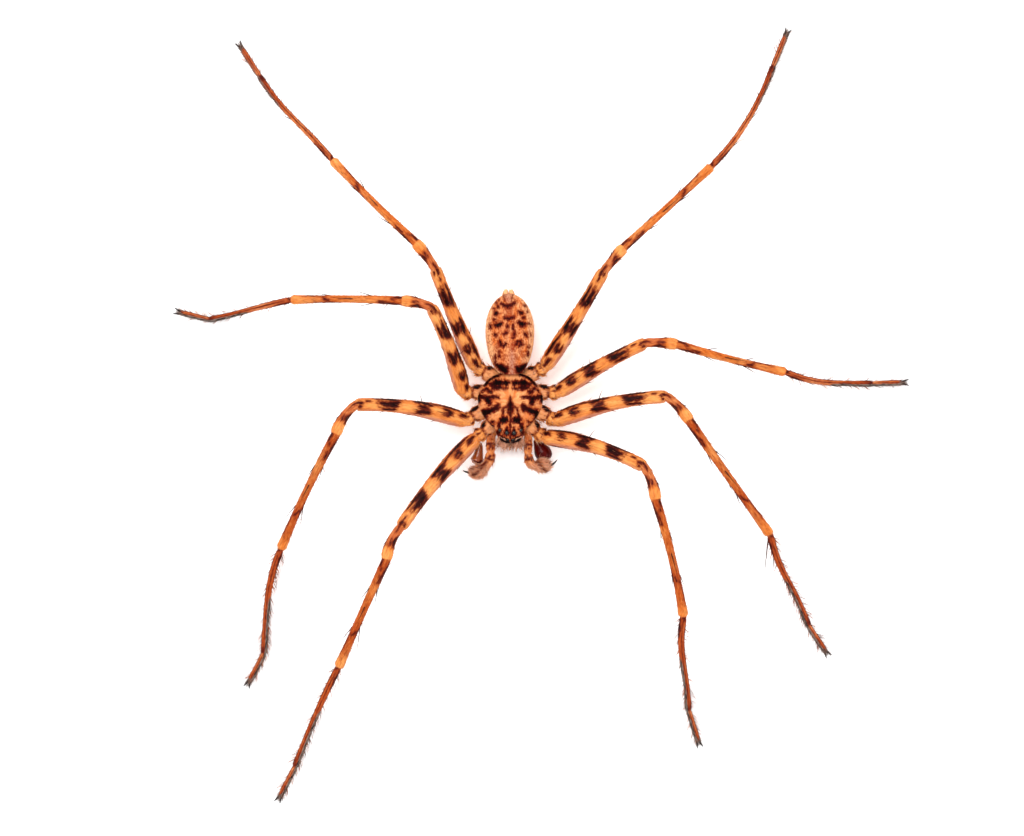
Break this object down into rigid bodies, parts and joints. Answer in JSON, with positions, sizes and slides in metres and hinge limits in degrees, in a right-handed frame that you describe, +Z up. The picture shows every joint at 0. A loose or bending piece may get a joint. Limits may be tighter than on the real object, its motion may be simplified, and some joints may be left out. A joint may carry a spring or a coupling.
{
  "type": "huntsman spider",
  "caption": "Still life-size male huntsman spider with long spread legs, banded thighs, mottled carapace, egg-shaped abdomen, hooked feelers and small glossy eyes, standing on its feet.",
  "frame": {"origin": "the bottom centre of the model's box, on the floor that the feet stand on", "axes": "+Z up, head towards -Y, the spider's left side towards +X"},
  "size_m": [0.0936, 0.0988, 0.0125],
  "materials": {
    "carapace": "orange chitin with dark blotches, satin under short hair",
    "abdomen": "soft hairy skin, mottled tan and red-brown with dark spots",
    "leg": "orange chitin with black-brown bands, satin",
    "foot": "red-brown chitin with grey brushes underneath",
    "jaw": "dark red-brown chitin, satin",
    "fang": "black polished chitin",
    "palp_bulb": "dark red glossy chitin",
    "eye": "black, glossy and wet-looking",
    "hair": "fine brown and pale hairs, silky",
    "spine": "dark brown stiff spines and bristles, satin"
  },
  "bodies": {
    "root": {"abdomen": "abdomen", "cephalothorax": "carapace", "chelicera_L": "jaw", "chelicera_R": "jaw", "endite_L": "jaw", "endite_R": "jaw", "eye_L_anterior_lateral": "eye", "eye_L_anterior_median": "eye", "eye_L_posterior_lateral": "eye", "eye_L_posterior_median": "eye", "eye_R_anterior_lateral": "eye", "eye_R_anterior_median": "eye", "eye_R_posterior_lateral": "eye", "eye_R_posterior_median": "eye", "fang_L": "fang", "fang_R": "fang", "leg_L1_coxa": "leg", "leg_L1_femur": "leg", "leg_L1_foot": "foot", "leg_L1_shank": "leg", "leg_L2_coxa": "leg", "leg_L2_femur": "leg", "leg_L2_foot": "foot", "leg_L2_shank": "leg", "leg_L3_coxa": "leg", "leg_L3_femur": "leg", "leg_L3_foot": "foot", "leg_L3_shank": "leg", "leg_L4_coxa": "leg", "leg_L4_femur": "leg", "leg_L4_foot": "foot", "leg_L4_shank": "leg", "leg_R1_coxa": "leg", "leg_R1_femur": "leg", "leg_R1_foot": "foot", "leg_R1_shank": "leg", "leg_R2_coxa": "leg", "leg_R2_femur": "leg", "leg_R2_foot": "foot", "leg_R2_shank": "leg", "leg_R3_coxa": "leg", "leg_R3_femur": "leg", "leg_R3_foot": "foot", "leg_R3_shank": "leg", "leg_R4_coxa": "leg", "leg_R4_femur": "leg", "leg_R4_foot": "foot", "leg_R4_shank": "leg", "palp_L_bulb": "palp_bulb", "palp_L_femur": "leg", "palp_L_tibia": "leg", "palp_R_bulb": "palp_bulb", "palp_R_femur": "leg", "palp_R_tibia": "leg", "pedicel": "carapace"}
  },
  "joints": []
}
